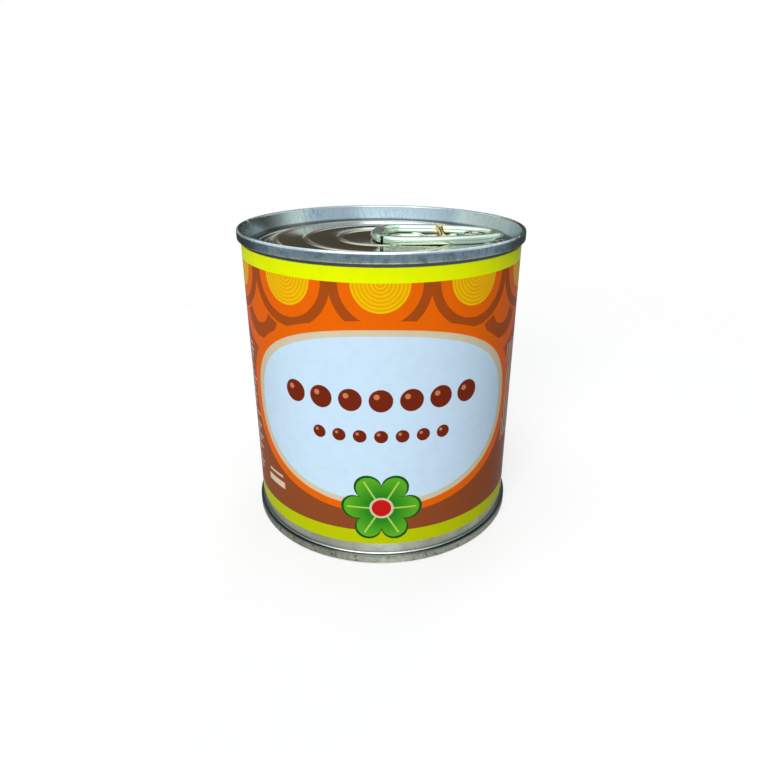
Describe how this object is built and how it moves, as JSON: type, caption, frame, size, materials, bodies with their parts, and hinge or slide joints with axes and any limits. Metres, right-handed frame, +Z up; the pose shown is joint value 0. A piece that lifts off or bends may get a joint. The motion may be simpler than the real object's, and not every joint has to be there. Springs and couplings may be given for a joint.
{
  "type": "condensed milk can",
  "caption": "Shut round tinplate food can with a double-seamed rim at top and bottom, a ringed easy-open lid with a pull tab, and a printed paper label round the body.",
  "frame": {"origin": "middle of the base, on the surface the can stands on", "axes": "+Z up the can's axis, -Y out of the front of the label, +X along the pull tab from its finger ring to its nose"},
  "size_m": [0.076, 0.076, 0.082],
  "materials": {
    "tinplate": "dull tinplate with small scratches",
    "lid_metal": "bright tinplate",
    "tab_metal": "satin",
    "label_paper": "printed paper with a slight gloss"
  },
  "bodies": {
    "root": {"can_body": "tinplate", "bottom_end": "tinplate", "top_end": "lid_metal", "pull_tab": "tab_metal", "paper_label": "label_paper"}
  },
  "joints": []
}
